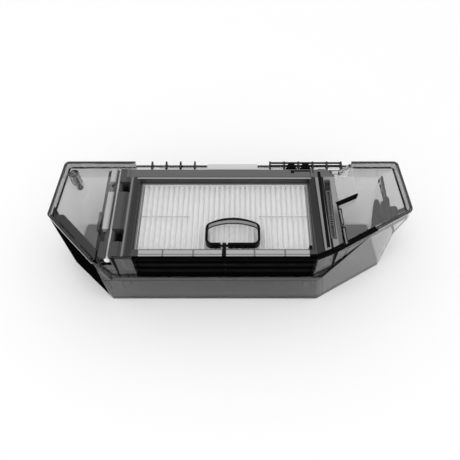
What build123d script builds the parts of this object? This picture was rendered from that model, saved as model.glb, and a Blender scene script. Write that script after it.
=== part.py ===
from build123d import *
import math
import os

# Dust bin of a robot vacuum cleaner: a smoked clear tub with a wing at each side, under a smoked
# cover that holds a hinged door with a pleated filter in it.
# Millimetres. X runs to the right as seen from the front, the front faces -Y, and +Z is up.
# The origin is the middle of the footprint, on the surface that the tub stands on.

# Overall size
WIDTH = 215.0
DEPTH = 72.9
HEIGHT = 46.0
LEFT = -WIDTH / 2
RIGHT = WIDTH / 2
FRONT = -DEPTH / 2
BACK = DEPTH / 2

# Tub
WALL = 1.8
FLOOR = 2.0
SCOOP_TOP_Z = HEIGHT - 15.0  # the back wall slopes forward below this height
SCOOP = 18.5                # how far the slope brings the back wall forward at the foot
SHOULDER_Z = HEIGHT - 6.0   # the wings widen towards this height
FRONT_LEAN = 1.45           # the front wall leans back by this much over the full height
WING_LEAN = 3.2             # a wing is narrower at its back corner by this much
LEFT_FOOT_IN = 4.5          # how far the left corner lies inside its rim, at foot and waist
LEFT_WAIST_IN = 1.5
LEFT_SHOULDER_IN = 0.6
RIGHT_FOOT_IN = 11.1
RIGHT_WAIST_IN = 8.1
RIGHT_SHOULDER_IN = 0.7
LEFT_CORNER_Y = FRONT + 32.65  # where the left side meets the left chamfer, at the rim
LEFT_CORNER_DROP = 5.6      # that corner lies this much further forward at the foot
LEFT_CHAMFER_END_X = -77.2  # where the left chamfer meets the front wall, at the rim
LEFT_CHAMFER_LEAN = 3.1
CHAMFER_ANGLE = 30.0        # the right chamfer's turn from the front wall
CHAMFER_REACH = 22.83       # sets how far right the chamfer starts
CHAMFER_FLARE = 3.8         # it stands this much further out at the foot
CORNER_RADII = (3.0, 3.0, 1.5, 1.5, 4.0, 3.0)
MIN_RADIUS = 0.5

# Parting line between tub and cover: level along the front, rising to the rim at both ends
PART_Z = HEIGHT - 22.0
PART_LEFT_X = -69.9
PART_LEFT_TOP_X = -76.2
PART_RIGHT_X = 53.8
PART_RIGHT_TOP_X = 85.7
PART_GAP = 0.15
PART_BACK_Y = FRONT + 28.45  # the parting cut reaches no further back than this

# Cover
COVER_WALL = 1.6
FIT = 0.15                  # gap round the cover inside the tub
PLATE_Z = HEIGHT - 5.4      # underside of the wing windows, which rest on a step in the tub's wall
STEP_IN = 0.9               # the tub's wall is this thick above that step
COVER_RIM = 0.9             # thickness of the cover's upstanding rim
RIM_ROUND = 0.8             # size of the slopes between that rim and the window
LAP = 2.0                   # the cover's front wall reaches this far down inside the tub
FRONT_FACE_Y = FRONT + 3.05
CHEEK_X = 49.2              # the front face turns back here, towards the right chamfer
CORNER_X = 59.4
CORNER_Y = FRONT_FACE_Y + 4.5
FRONT_END_X = 86.2
FRONT_END_Y = FRONT_FACE_Y + 20.0
GROOVE_X = -65.2            # upright groove between front face and hinge corner
GROOVE_TOP_WIDTH = 2.0
GROOVE_FOOT_WIDTH = 0.8
GROOVE_DEPTH = 0.8
HINGE_NOTCH_Z = HEIGHT - 7.0  # the front wall is this low in front of the hinge

# Black seals on the cover's front wall
EDGE_SEAL_THICK = 1.0       # the seal that forms the wall's top edge
EDGE_SEAL_IN = 1.5          # in the right wing it reaches this far inside the wall
EDGE_SEAL_END_X = 84.6
CORNER_SEAL_TOP = 1.5       # half width of its branch down the corner, at the top and at the foot
CORNER_SEAL_FOOT = 0.7

# Bay in the cover that takes the door; its right wall runs inwards towards the back
BAY_LEFT = -75.6
BAY_RIGHT_FRONT = 65.5
BAY_RIGHT_BACK = 61.6
BAY_FRONT = FRONT_FACE_Y + COVER_WALL
BAY_BACK = BACK - 5.55
SEAT_Z = HEIGHT - 16.0      # underside of the seat that the door's gasket faces
DOOR_GAP = 0.4

# Door
DOOR_SIDE_GAP = 0.7
DOOR_BACK = BAY_BACK - 0.5
DOOR_FRONT = BAY_FRONT + DOOR_GAP
DOOR_BOTTOM = HEIGHT - 13.0
DOOR_WALL = 1.5
DOOR_CORNER_R = 4.0         # the door's back right corner
OPEN_LEFT = -55.6           # opening over the filter
OPEN_RIGHT = 47.6
OPEN_FRONT = DOOR_FRONT + 4.4
OPEN_BACK = DOOR_BACK - 7.7
LIP = 1.6                   # lip below the filter, its width
LIP_THICK = 1.5
RIM_STEP = 0.5              # the rim round the opening stands this much above the bars
RIM_WIDTH = 1.5
RIM_WIDTH_LEFT = 4.9
RIM_RIGHT_FRONT = 4.6       # width of the rim at the right, at its front and back end
RIM_RIGHT_BACK = 2.6
RIM_BEVEL = 0.3
TAB_FRONT_LEFT_Y = DOOR_BACK - 26.8  # finger tab at the right of the door
TAB_FRONT_RIGHT_Y = DOOR_BACK - 20.0
TAB_RIGHT = 76.6
TAB_BACK_RIGHT_Y = DOOR_BACK + 2.6
TAB_BACK_LEFT_Y = DOOR_BACK - 3.8
TAB_SKIN = 1.4
TAB_EDGE = 3.1
TAB_EDGE_WIDTH = 1.5
TAB_RADIUS = 2.0
TAB_ROOT = 0.5              # the tab's plate starts this far inside the door's side
DOOR_TRIM = 1.3             # width and depth of the black trim along the door's front right edge
CATCH_PLATE_X = (36.8, 51.0)
CATCH_PLATE_DEPTH = 2.4
CATCH_PLATE_LEG = 2.2

# Hinge at the left of the door
HINGE_X = -69.2
HINGE_Z = HEIGHT - 3.8
PIN_R = 1.2
PIN_HEAD_R = 1.75
PIN_HEAD_LENGTH = 1.0
PIN_RUN = 0.06              # clearance of the pin in the door's knuckles
PIN_PRESS = 0.02            # clearance of the pin in the cover's knuckles
PIN_WINDOW = 1.9            # slot in the top of each knuckle, through which the pin shows
DOOR_KNUCKLE_R = 4.6
COVER_KNUCKLE_R = 3.3
HINGE_EDGE = 5.0            # the door's left edge lies this far right of the pin
KNUCKLE_GAP = 0.3
COVER_KNUCKLES = ((DOOR_FRONT + 9.5, DOOR_FRONT + 17.9), (DOOR_BACK - 17.5, DOOR_BACK - 9.9))
NOTCH = 3.0                 # depth of the door's notches beside the cover's knuckles

# Front strip, clip, post and pull ring
STRIP_LEFT = -51.4
STRIP_RIGHT = 44.2
STRIP_Z = HEIGHT - 3.4
STRIP_SKIN = 1.2
STRIP_TICK = 1.0
STRIP_TICK_PITCH = 17.1
STRIP_TICKS = 5
CLIP_WIDTH = 1.8
CLIP_REACH = 2.4            # the clip reaches this far over the filter
POST_X = -3.5
POST_WIDTH = 2.0
POST_SLOT_GAP = 0.2
EYE_R = 1.7
RING_X = 1.3
RING_WIDTH = 31.4
RING_FRONT_Y = OPEN_FRONT + 2.9
RING_SHOULDER_Y = OPEN_FRONT + 16.4
RING_TOP_Y = OPEN_FRONT + 21.1
RING_RADIUS = 4.0
RING_WALL = 1.4
RING_BOTTOM = HEIGHT - 4.5
RING_PIN_R = 0.75
RING_PIN_RUN = 0.07
RING_GAP = 1.1              # gap each side of the post in the ring's front wall

# Filter cartridge
CARTRIDGE_GAP = 0.15
CARTRIDGE_WALL = 0.9
CARTRIDGE_TOP = HEIGHT - 4.7
FOAM = 0.7                  # thickness of the foam seal under the cartridge
PLEATS = 32
PLEAT_TOP = HEIGHT - 4.9
PLEAT_FOOT = HEIGHT - 10.2
PLEAT_SHEET = 0.45
THREAD_R = 0.2
THREAD_LENGTHS = (30.0, 30.0)

# Seal and screen under the door
SEAL_THICK = 1.1
SEAL_WIDTH = 2.4
SCREEN_THICK = 0.3
SCREEN_BAR = 2.0

# Latch in the right bar of the door
RAIL_FRONT_X = (54.4, 56.2)  # left and right edge of the black rail at its front end
RAIL_BACK_X = (53.3, 55.1)
RAIL_DEPTH = 3.0
RAIL_FRONT = OPEN_FRONT + 1.2
RAIL_BACK = OPEN_BACK + 5.6
SLIDER_X = 57.1
SLIDER_WIDTH = 3.0
SLIDER_FRONT = OPEN_FRONT + 7.0
SLIDER_LENGTH = OPEN_BACK - OPEN_FRONT - 15.7
SLIDER_TOP = HEIGHT - 0.4
SLIDER_FOOT = HEIGHT - 5.3
SLIDER_GAP = 0.3
LATCH_TRAVEL = 4.0
SPRING_LENGTH = 8.0
SPRING_R = 1.3
SPRING_WIRE = 0.25
SPRING_TURNS = 4
SPRING_SIDES = 10           # straight pieces in each turn
HOOK_LENGTH = 3.0
HOOK_THICK = 1.7
HOOK_REACH = 1.1            # how far a hook reaches into the bay's right wall
HOOK_YS = (SLIDER_FRONT + 3.0, SLIDER_FRONT + 16.0)
HOOK_GAP = 0.3

# Louvre in the front wall; its top border is as thick as the wall and forms the wall's edge
LOUVRE_LEFT = -54.6
LOUVRE_RIGHT = 48.3
LOUVRE_FOOT = PART_Z + 3 * PART_GAP
LOUVRE_TOP = HEIGHT
LOUVRE_BORDER = 1.4
LOUVRE_THICK = 1.1
MESH_THICK = 0.4
SLATS = 3
SLAT_THICK = 0.7
SLAT_RISE = 0.9
CENTRE_RIB_X = -3.0
CENTRE_RIB_WIDTH = 1.0

# Rear panel and combs
REAR_LEFT = -60.3
REAR_RIGHT = 75.4
SHELF_RIGHT = 70.0          # the panel's shelf ends here, its upright wall runs on
REAR_FRONT = BACK - 3.75
RIB_FRONT = BAY_BACK + 0.3
RIB_PITCH = 8.9
RIB_WIDTH = 1.0
LEFT_RIB_X = -49.6
LEFT_RIBS = 4
RIGHT_RIB_X = 24.2
RIGHT_RIBS = 6
COMB_BASE = 0.5
COMB_BASE_WIDTH = 1.0
RAIL_TOP_THICK = 0.9
RAIL_TOP_IN = 0.5           # the rail lies this far inside the ribs' back ends
PAD_LEFT = -15.2
PAD_RIGHT = 16.4
PAD_THICK = 1.5
CATCH_RIB = 1               # the dark catch starts at the gap after this rib of the right comb
CATCH_LENGTHS = (7.1, 5.6, 4.2)
CATCH_STEPS = (1.6, 2.6, 3.2)

# Inlet in the back
INLET_HALF = 46.0
INLET_FOOT = 6.0
INLET_TOP = HEIGHT - 21.0
INLET_WALL = 1.5
INLET_INNER_Y = BACK - 17.45
INLET_OUTER_Y = BACK - 1.45
FLANGE = 1.3
FLANGE_THICK = 1.0
INLET_SEAL = 1.4
FLAP_THICK = 1.2
FLAP_R = 1.6
FLAP_PIN_R = 0.8
FLAP_PIN_IN = 0.5           # the pin lies behind the flap's middle, so that the flap hangs shut
FLAP_RUN = 0.06
FLAP_SIDE_GAP = 0.6
FLAP_END_GAP = 0.3
EAR_LENGTH = 3.6
EAR_HEIGHT = 3.5

# Screws that hold the cover to the tub, from below
BOSSES = (                  # x, y and the height of the joint between tub and cover
    (LEFT + 8.3, BACK - 5.85, SCOOP_TOP_Z + 0.5),
    (55.6, BACK - 9.95, SEAT_Z - 8.0),
    (-66.0, FRONT_FACE_Y + 7.4, SEAT_Z - 8.0),
    (47.5, FRONT_FACE_Y + 7.4, SEAT_Z - 8.0),
)
BOSS_R = 3.0
BOSS_GAP = 0.1
COUNTERBORE_R = 2.2
BOSS_LAND = 5.0             # from the screw's seat up to the joint
SHANK_HOLE_R = 1.3
SHANK_R = 1.0
PILOT_R = 1.05
HEAD_R = 1.9
HEAD_HEIGHT = 1.6
SCREW_LENGTH = 12.0
DRIVE_R = 1.0
DRIVE_DEPTH = 0.8

# Fittings in the wings
PAD_STRIP_FROM = 3.4        # along the rim, from the left corner
PAD_STRIP_LENGTH = 44.0
PAD_STRIP_IN = 5.2          # from the rim's outer edge to the strip's middle line
PAD_STRIP_WIDTH = 4.7
PAD_STRIP_THICK = 1.2
PAD_STRIP_END_X = -75.9
FIN_FRONT = FRONT_FACE_Y + 20.0
FIN_BACK = FRONT_FACE_Y + 32.4
FIN_TOP = HEIGHT - 1.0
DIAGONAL_FROM = (67.3, BACK - 9.25)
DIAGONAL_TO = (75.0, BACK - 3.25)

# Bracket under the right window. Its outlines are measured from the tub's right and front faces,
# and the tall pieces lean on the inside of the right chamfer.
BRACKET_WEB = 1.2
BRACKET_GAP = 0.1
BRACKET_DEPTHS = (1.4, 5.0, 5.0, 5.0)  # how far each piece reaches down
BRACKET_PIECES = (
    ((-25.0, 27.2), (-17.4, 30.8), (-17.6, 45.9), (-18.9, 47.4), (-20.4, 46.4), (-21.6, 42.5)),
    ((-16.9, 31.2), (-12.2, 33.4), (-11.2, 48.0), (-11.9, 49.4), (-14.0, 46.9), (-16.5, 45.4)),
    ((-11.7, 33.8), (-7.3, 36.2), (-7.4, 41.0), (-8.2, 42.1), (-11.2, 42.1)),
    ((-6.7, 36.9), (-2.0, 39.4), (-1.8, 42.2), (-3.4, 41.4), (-5.2, 39.6)),
)
BRACKET_FIN = (-13.6, -12.4, 47.5, 65.0)

# Levels that follow from the sizes above
PLATE_TOP = PLATE_Z + COVER_WALL
SEAT_TOP = SEAT_Z + COVER_WALL
HINGE_SIDE = HINGE_X + HINGE_EDGE
RING_AXIS_Y = RING_FRONT_Y + RING_WALL / 2
RING_AXIS_Z = (RING_BOTTOM + HEIGHT) / 2
LIP_TOP = DOOR_BOTTOM + LIP_THICK
FLAP_Y = INLET_INNER_Y - FLAP_PIN_IN
FLAP_Z = INLET_TOP - FLAP_R - 0.1
CHAMFER_DISTANCE = CHAMFER_REACH + math.cos(math.radians(CHAMFER_ANGLE)) * DEPTH / 2
COVER_IN = STEP_IN + FIT


def polygon(points):
    return make_face(Polyline(*points, close=True))


def block(x0, x1, y0, y1, z0, z1, radius=0.0):
    """An upright plate over the rectangle x0..x1 by y0..y1, with rounded plan corners."""
    width = x1 - x0
    depth = y1 - y0
    outline = RectangleRounded(width, depth, radius) if radius else Rectangle(width, depth)
    return Pos((x0 + x1) / 2, (y0 + y1) / 2, z0) * extrude(outline, z1 - z0)


def ring_block(x0, x1, y0, y1, z0, z1, width):
    """A rectangular ring whose outer edge is the rectangle given."""
    outer = block(x0, x1, y0, y1, z0, z1)
    return outer - block(x0 + width, x1 - width, y0 + width, y1 - width, z0, z1)


def along_y(points, y0, y1):
    """The XZ outline given, run from y0 to y1."""
    plane = Plane((0, y1, 0), x_dir=(1, 0, 0), z_dir=(0, -1, 0))
    return extrude(plane * polygon(points), y1 - y0)


def along_x(points, x0, x1):
    """The YZ outline given, run from x0 to x1."""
    plane = Plane((x0, 0, 0), x_dir=(0, 1, 0), z_dir=(1, 0, 0))
    return extrude(plane * polygon(points), x1 - x0)


def rod_y(x, z, radius, y0, y1):
    plane = Plane((x, y1, z), x_dir=(1, 0, 0), z_dir=(0, -1, 0))
    return extrude(plane * Circle(radius), y1 - y0)


def rod_x(y, z, radius, x0, x1):
    plane = Plane((x0, y, z), x_dir=(0, 1, 0), z_dir=(1, 0, 0))
    return extrude(plane * Circle(radius), x1 - x0)


def rod_z(x, y, radius, z0, z1):
    return Pos(x, y, z0) * extrude(Circle(radius), z1 - z0)


def meet(first, second):
    """Where two lines cross, each given as a point and a direction."""
    (px, py), (dx, dy) = first
    (qx, qy), (ex, ey) = second
    share = ((qx - px) * ey - (qy - py) * ex) / (dx * ey - dy * ex)
    return (px + share * dx, py + share * dy)


def shifted_edges(points, distance, closed):
    """Each edge of a run of points, moved to its left by the distance given."""
    count = len(points) if closed else len(points) - 1
    edges = []
    for index in range(count):
        ax, ay = points[index]
        bx, by = points[(index + 1) % len(points)]
        length = math.hypot(bx - ax, by - ay)
        dx = (bx - ax) / length
        dy = (by - ay) / length
        edges.append(((ax - dy * distance, ay + dx * distance), (dx, dy), length))
    return edges


def inset(points, distance):
    """A closed outline that runs anticlockwise, moved inwards."""
    edges = shifted_edges(points, distance, True)
    return [meet(edges[index - 1][:2], edges[index][:2]) for index in range(len(edges))]


def offset_line(points, distance):
    """An open run of points, moved to its left, with mitred corners."""
    edges = shifted_edges(points, distance, False)
    (start_x, start_y), _, _ = edges[0]
    (end_x, end_y), (dx, dy), length = edges[-1]
    middle = [meet(edges[index - 1][:2], edges[index][:2]) for index in range(1, len(edges))]
    return [(start_x, start_y)] + middle + [(end_x + dx * length, end_y + dy * length)]


def wall(points, thickness, z0, z1):
    """An upright wall whose outer face follows an open run of points."""
    face = polygon(points + offset_line(points, thickness)[::-1])
    return Pos(0, 0, z0) * extrude(face, z1 - z0)


def between(z, foot, waist, shoulder):
    """How far a side lies inside the rim at a height, from three given values."""
    if z < SCOOP_TOP_Z:
        return foot + (waist - foot) * z / SCOOP_TOP_Z
    if z < SHOULDER_Z:
        return waist + (shoulder - waist) * (z - SCOOP_TOP_Z) / (SHOULDER_Z - SCOOP_TOP_Z)
    return shoulder * max(0.0, HEIGHT - z) / (HEIGHT - SHOULDER_Z)


def corners(z):
    """The tub's six plan corners at a height, anticlockwise from the back left."""
    low = max(0.0, 1 - z / HEIGHT)
    front = -DEPTH / 2 + FRONT_LEAN * (1 - low)
    back = DEPTH / 2 - SCOOP * max(0.0, 1 - z / SCOOP_TOP_Z)
    left = -WIDTH / 2 + between(z, LEFT_FOOT_IN, LEFT_WAIST_IN, LEFT_SHOULDER_IN)
    right = WIDTH / 2 - between(z, RIGHT_FOOT_IN, RIGHT_WAIST_IN, RIGHT_SHOULDER_IN)
    reach = CHAMFER_DISTANCE + CHAMFER_FLARE * low
    sine = math.sin(math.radians(CHAMFER_ANGLE))
    cosine = math.cos(math.radians(CHAMFER_ANGLE))
    return [
        (left + WING_LEAN, back),
        (left, LEFT_CORNER_Y - LEFT_CORNER_DROP * low),
        (LEFT_CHAMFER_END_X + LEFT_CHAMFER_LEAN * low, front),
        ((reach + cosine * front) / sine, front),
        (right, -(reach - sine * right) / cosine),
        (right - WING_LEAN, back),
    ]


def level_face(z, distance):
    """The tub's plan at a height, moved inwards, with rounded corners."""
    radii = [max(radius - distance, MIN_RADIUS) for radius in CORNER_RADII]
    points = inset(corners(z), distance)
    return make_face(FilletPolyline(*points, radius=radii, close=True))


def tub_form(distance, z0, z1):
    """The tub's outer form, or its hollow when moved inwards, between two heights."""
    levels = (z0, SCOOP_TOP_Z, SHOULDER_Z, z1)
    return loft([Pos(0, 0, z) * level_face(z, distance) for z in levels], ruled=True)


def rim_form(distance, z0, z1):
    """The same form between two heights near the rim."""
    levels = (z0, HEIGHT) if z1 <= HEIGHT else (z0, HEIGHT, z1)
    return loft([Pos(0, 0, z) * level_face(z, distance) for z in levels], ruled=True)


def bay_right(y):
    """Where the inside of the bay's right wall lies."""
    share = (y - BAY_FRONT) / (BAY_BACK - BAY_FRONT)
    return BAY_RIGHT_FRONT + (BAY_RIGHT_BACK - BAY_RIGHT_FRONT) * share


def bay_block(grow, z0, z1, y0, y1):
    """The bay's plan, widened to both sides by a distance, between two heights."""
    outline = [
        (BAY_LEFT - grow, y0),
        (bay_right(y0) + grow, y0),
        (bay_right(y1) + grow, y1),
        (BAY_LEFT - grow, y1),
    ]
    return Pos(0, 0, z0) * extrude(polygon(outline), z1 - z0)


def parting_block(gap):
    """All that lies above the parting line at the front, raised by a gap."""
    over = HEIGHT
    left_slope = (PART_LEFT_TOP_X - PART_LEFT_X) / (HEIGHT - PART_Z)
    right_slope = (PART_RIGHT_TOP_X - PART_RIGHT_X) / (HEIGHT - PART_Z)
    points = [
        (PART_LEFT_X, PART_Z + gap),
        (PART_RIGHT_X, PART_Z + gap),
        (PART_RIGHT_X + right_slope * over, PART_Z + gap + over),
        (PART_LEFT_X + left_slope * over, PART_Z + gap + over),
    ]
    return along_y(points, -DEPTH, PART_BACK_Y)


def rear_notch():
    """The gap in the tub's back wall that the clear panel fills."""
    return block(REAR_LEFT, REAR_RIGHT, BAY_BACK, DEPTH, SCOOP_TOP_Z, HEIGHT + 1)


def cover_line():
    """The cover's front in plan: front face, right cheek and right chamfer."""
    return [
        (PART_LEFT_TOP_X, FRONT_FACE_Y),
        (CHEEK_X, FRONT_FACE_Y),
        (CORNER_X, CORNER_Y),
        (FRONT_END_X, FRONT_END_Y),
    ]


def ahead_of_cover():
    """All that lies in front of the cover's front wall."""
    outline = cover_line() + [(FRONT_END_X, -DEPTH), (PART_LEFT_TOP_X, -DEPTH)]
    return extrude(polygon(outline[::-1]), HEIGHT + 1)


def cover_room():
    """Where the cover may be: inside the tub by a fit, or above the parting line."""
    low = tub_form(WALL + FIT, FLOOR, HEIGHT + 1)
    return low + rim_form(COVER_IN, PLATE_Z, HEIGHT) + parting_block(PART_GAP)


def part_of_line(x0, x1):
    """The cover's front line between two places right of the louvre."""
    _, cheek, corner, end = cover_line()
    slope = (end[1] - corner[1]) / (end[0] - corner[0])
    points = []
    if x0 < cheek[0]:
        points += [(x0, cheek[1]), cheek]
    if x0 < corner[0]:
        points.append(corner)
    else:
        points.append((x0, corner[1] + slope * (x0 - corner[0])))
    return points + [(x1, corner[1] + slope * (x1 - corner[0]))]


def corner_branch(half, z):
    """Plan of the seal's branch round the cover's corner, at one height."""
    _, cheek, corner, end = cover_line()
    before = math.hypot(corner[0] - cheek[0], corner[1] - cheek[1])
    after = math.hypot(end[0] - corner[0], end[1] - corner[1])
    start = [corner[i] + (cheek[i] - corner[i]) * half / before for i in (0, 1)]
    stop = [corner[i] + (end[i] - corner[i]) * half / after for i in (0, 1)]
    line = [tuple(start), corner, tuple(stop)]
    return Pos(0, 0, z) * polygon(line + offset_line(line, GROOVE_DEPTH)[::-1])


def tub():
    form = tub_form(0, 0, HEIGHT)
    body = form - tub_form(WALL, FLOOR, HEIGHT + 1)
    body -= rim_form(STEP_IN, PLATE_Z, HEIGHT + 1)
    for x, y, joint in BOSSES:
        body += rod_z(x, y, BOSS_R, FLOOR / 2, joint - BOSS_GAP) & form
    for x, y, joint in BOSSES:
        body -= rod_z(x, y, COUNTERBORE_R, -1, joint - BOSS_LAND)
        body -= rod_z(x, y, SHANK_HOLE_R, 0, joint)
    body -= parting_block(0)
    body -= rear_notch()
    body -= block(
        -INLET_HALF - FIT, INLET_HALF + FIT, 0, DEPTH, INLET_FOOT - FIT, INLET_TOP + FIT
    )
    return body


def cover_front():
    """The cover's front wall, with the lap that reaches down inside the tub."""
    front = wall(cover_line(), COVER_WALL, PART_Z, HEIGHT) & parting_block(PART_GAP)
    return front + block(
        PART_LEFT_X + COVER_WALL, CHEEK_X - COVER_WALL,
        FRONT_FACE_Y, BAY_FRONT, PART_Z - LAP, PART_Z + 2 * PART_GAP,
    )


def front_cuts():
    """The louvre's opening, the notch before the hinge and the tapered groove beside it."""
    y0 = FRONT_FACE_Y - 1
    y1 = BAY_FRONT
    louvre = block(
        LOUVRE_LEFT - FIT, LOUVRE_RIGHT + FIT, y0, y1 + 1, LOUVRE_FOOT - FIT, LOUVRE_TOP + FIT
    )
    notch = block(
        PART_LEFT_TOP_X - 1, GROOVE_X - GROOVE_TOP_WIDTH / 2 - 0.6, y0, y1, HINGE_NOTCH_Z, HEIGHT + 1
    )
    return louvre + notch


def groove_seal():
    """A tapered black strip in the groove beside the hinge corner."""
    top = GROOVE_TOP_WIDTH / 2
    foot = GROOVE_FOOT_WIDTH / 2
    outline = [
        (GROOVE_X - foot, PART_Z + 1),
        (GROOVE_X + foot, PART_Z + 1),
        (GROOVE_X + top, HEIGHT),
        (GROOVE_X - top, HEIGHT),
    ]
    return along_y(outline, FRONT_FACE_Y, FRONT_FACE_Y + GROOVE_DEPTH)


def edge_seal():
    """The black edge of the front wall right of the louvre, with a branch down the corner."""
    foot = HEIGHT - EDGE_SEAL_THICK
    edge = wall(part_of_line(LOUVRE_RIGHT + FIT, EDGE_SEAL_END_X), COVER_WALL, foot, HEIGHT)
    wing = part_of_line(BAY_RIGHT_FRONT + COVER_WALL + 0.8, EDGE_SEAL_END_X)
    inner = wall(wing, COVER_WALL + EDGE_SEAL_IN, foot, HEIGHT)
    inner += wall(offset_line(wing, COVER_WALL), EDGE_SEAL_IN, PLATE_TOP, HEIGHT)
    low = PART_Z + 5
    branch = loft(
        [corner_branch(CORNER_SEAL_FOOT, low), corner_branch(CORNER_SEAL_TOP, HEIGHT - 0.2)], ruled=True
    )
    return edge + inner + branch


def hook_slots():
    """Cuts in the bay's right wall: a pocket for each hook, and its way out at the top."""
    cuts = []
    for y in HOOK_YS:
        end = y + HOOK_LENGTH
        foot = SLIDER_FOOT - HOOK_GAP
        inside = bay_right(y)
        cuts.append(block(
            inside - 1.5, inside + COVER_WALL + 1,
            y - HOOK_GAP, end + LATCH_TRAVEL + HOOK_GAP, foot, foot + HOOK_THICK + 2 * HOOK_GAP,
        ))
        cuts.append(block(
            inside - 1.5, inside + COVER_WALL + 1,
            y + LATCH_TRAVEL - HOOK_GAP, end + LATCH_TRAVEL + HOOK_GAP, foot, HEIGHT + 1,
        ))
    return Part() + cuts


def pin_window(y0, y1):
    """The slot in the knuckles' tops."""
    half = PIN_WINDOW / 2
    return block(HINGE_X - half, HINGE_X + half, y0, y1, HINGE_Z, HEIGHT + 1)


def cover_knuckle(y0, y1):
    """A knuckle on its pedestal, which stands on the bay's seat."""
    foot = COVER_KNUCKLE_R * 0.9
    pedestal = block(HINGE_X - foot, HINGE_X + foot, y0, y1, SEAT_TOP - 0.1, HINGE_Z)
    return pedestal + rod_y(HINGE_X, HINGE_Z, COVER_KNUCKLE_R, y0, y1)


def cover_tray():
    """The windows of both wings, with the rim that stands up along the tub's wall."""
    tray = rim_form(COVER_IN, PLATE_Z, HEIGHT)
    inside = COVER_IN + COVER_RIM
    foot = [
        Pos(0, 0, PLATE_TOP + rise * RIM_ROUND) * level_face(PLATE_TOP + rise * RIM_ROUND, inside + out)
        for rise, out in ((0, RIM_ROUND), (0.3, RIM_ROUND * 0.3), (1, 0))
    ]
    return tray - loft(foot, ruled=True) - rim_form(inside, PLATE_TOP + RIM_ROUND, HEIGHT + 1)


def top_cover():
    outer = COVER_WALL
    body = cover_tray()
    middle = bay_block(outer, PLATE_TOP, HEIGHT + 1, FRONT, BAY_BACK + outer)
    body -= middle + block(REAR_LEFT - FIT, REAR_RIGHT, BAY_BACK, BACK, PLATE_TOP, HEIGHT + 1)
    body += bay_block(outer, SEAT_Z, PLATE_TOP, BAY_FRONT, BAY_BACK + outer)
    upright = bay_block(outer, PLATE_Z, HEIGHT, BAY_FRONT, TAB_FRONT_LEFT_Y - 0.6)
    body += upright - block(LEFT, BAY_RIGHT_BACK - outer, FRONT, BACK, 0, HEIGHT + 1)
    body -= bay_block(0, SEAT_TOP, HEIGHT + 1, BAY_FRONT, BAY_BACK)
    body -= block(
        OPEN_LEFT + LIP, OPEN_RIGHT - LIP, OPEN_FRONT + LIP, OPEN_BACK - LIP, SEAT_Z - 1, SEAT_TOP + 1
    )
    body -= block(REAR_LEFT, SHELF_RIGHT, BAY_BACK + outer, BACK, PLATE_Z - 1, PLATE_TOP + 1)
    body -= block(SHELF_RIGHT - 1, REAR_RIGHT, BACK - WALL - FIT, BACK, PLATE_Z - 1, PLATE_TOP + 1)
    body -= ahead_of_cover()
    body += cover_front()
    body -= front_cuts()
    for y0, y1 in COVER_KNUCKLES:
        body += cover_knuckle(y0 + KNUCKLE_GAP, y1 - KNUCKLE_GAP)
    body += block(
        BAY_LEFT - outer, BAY_LEFT - outer / 2, FIN_FRONT, FIN_BACK, PLATE_TOP - 0.1, FIN_TOP
    )
    body += wall([DIAGONAL_FROM, DIAGONAL_TO], outer, PLATE_TOP - 0.1, HEIGHT)
    for x, y, joint in BOSSES:
        top = SEAT_Z if BAY_LEFT < x < bay_right(y) else PLATE_Z
        body += rod_z(x, y, BOSS_R, joint, top + 0.1)
    for x, y, joint in BOSSES:
        body -= rod_z(x, y, PILOT_R, joint - 1, joint - BOSS_LAND + SCREW_LENGTH + 0.5)
    body -= rod_y(HINGE_X, HINGE_Z, PIN_R + PIN_PRESS, BAY_FRONT, BAY_BACK)
    body -= pin_window(BAY_FRONT, BAY_BACK)
    body -= groove_seal() + edge_seal()
    return (body - hook_slots()) & cover_room()


def door_right(y):
    return bay_right(y) - DOOR_SIDE_GAP


def door_outline():
    """The door in plan: its front follows the cover's front wall inside a gap."""
    line = offset_line(cover_line(), COVER_WALL + DOOR_GAP)
    side = ((door_right(0), 0), (door_right(1) - door_right(0), 1))
    end = meet((line[2], (line[3][0] - line[2][0], line[3][1] - line[2][1])), side)
    return [
        (HINGE_SIDE, DOOR_BACK),
        (HINGE_SIDE, DOOR_FRONT),
        line[1],
        line[2],
        end,
        (door_right(DOOR_BACK), DOOR_BACK),
    ]


def door_knuckle(y0, y1):
    """A knuckle with a flat top and a half-round foot, run into the door's left bar."""
    left = HINGE_X - DOOR_KNUCKLE_R
    top = block(left, HINGE_SIDE + DOOR_WALL, y0, y1, HINGE_Z, HEIGHT)
    foot = rod_y(HINGE_X, HINGE_Z, DOOR_KNUCKLE_R, y0, y1)
    return top + (foot - block(left - 1, HINGE_SIDE, y0, y1, HINGE_Z + 1, HEIGHT + 1))


def tab_outline():
    inner = door_right(TAB_FRONT_LEFT_Y)
    back = door_right(TAB_BACK_LEFT_Y)
    outline = [
        (back - TAB_ROOT, TAB_BACK_LEFT_Y),
        (inner - TAB_ROOT, TAB_FRONT_LEFT_Y),
        (inner, TAB_FRONT_LEFT_Y),
        (TAB_RIGHT, TAB_FRONT_RIGHT_Y),
        (TAB_RIGHT - 0.6, TAB_BACK_RIGHT_Y),
        (DIAGONAL_FROM[0] + 0.5, TAB_BACK_LEFT_Y),
    ]
    radii = [0, 0, 0, TAB_RADIUS, 1.0, 1.0]
    return make_face(FilletPolyline(*outline, radius=radii, close=True))


def finger_tab():
    """A thin plate that stands out over the right wing."""
    return Pos(0, 0, HEIGHT - TAB_SKIN) * extrude(tab_outline(), TAB_SKIN)


def tab_edge():
    """A deep black edge along the front of the finger tab."""
    inner = door_right(TAB_FRONT_LEFT_Y)
    line = [(inner, TAB_FRONT_LEFT_Y), (TAB_RIGHT, TAB_FRONT_RIGHT_Y)]
    edge = wall(line, TAB_EDGE_WIDTH, HEIGHT - TAB_EDGE, HEIGHT)
    return edge & (Pos(0, 0, HEIGHT - TAB_EDGE) * extrude(tab_outline(), TAB_EDGE))


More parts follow.
